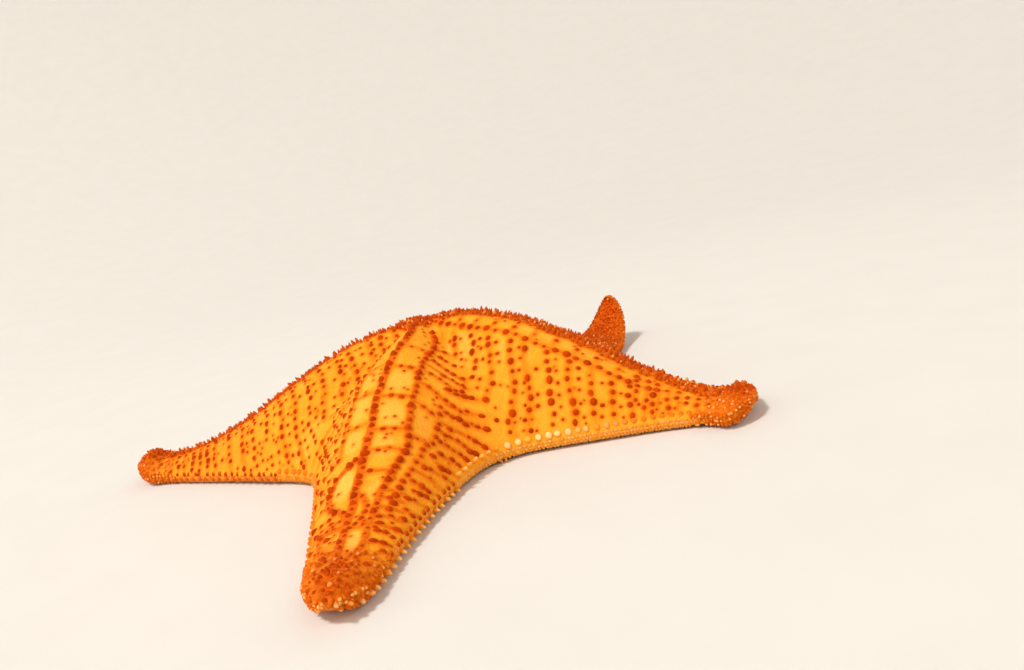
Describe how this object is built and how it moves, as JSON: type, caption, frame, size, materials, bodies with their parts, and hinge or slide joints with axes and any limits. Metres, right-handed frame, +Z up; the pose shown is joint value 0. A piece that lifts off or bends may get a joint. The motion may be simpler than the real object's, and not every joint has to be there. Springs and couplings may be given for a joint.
{
  "type": "cushion sea star",
  "caption": "Life-size cushion sea star with a high domed disc and short tapering arms, resting on its oral side with the arm tips turned up.",
  "frame": {"origin": "on the floor, under the middle of the outline", "axes": "+Z up, -Y towards the viewer with the front arm to the viewer's left, +X to the viewer's right"},
  "size_m": [0.2448, 0.277, 0.0494],
  "materials": {
    "skin": "granular damp skin, yellow-orange",
    "arm_tips": "granular damp skin, red-orange",
    "tubercles": "smooth calcite knobs under thin red-orange skin",
    "mouth_plates": "pale granular plates",
    "madreporite": "pale furrowed sieve plate"
  },
  "bodies": {
    "root": {"disc": "skin", "arm_front": "skin", "arm_right": "skin", "arm_back_right": "skin", "arm_back_left": "skin", "arm_left": "skin", "tip_front": "arm_tips", "tip_right": "arm_tips", "tip_back_right": "arm_tips", "tip_back_left": "arm_tips", "tip_left": "arm_tips", "mouth_plates": "mouth_plates", "madreporite": "madreporite"}
  },
  "joints": []
}
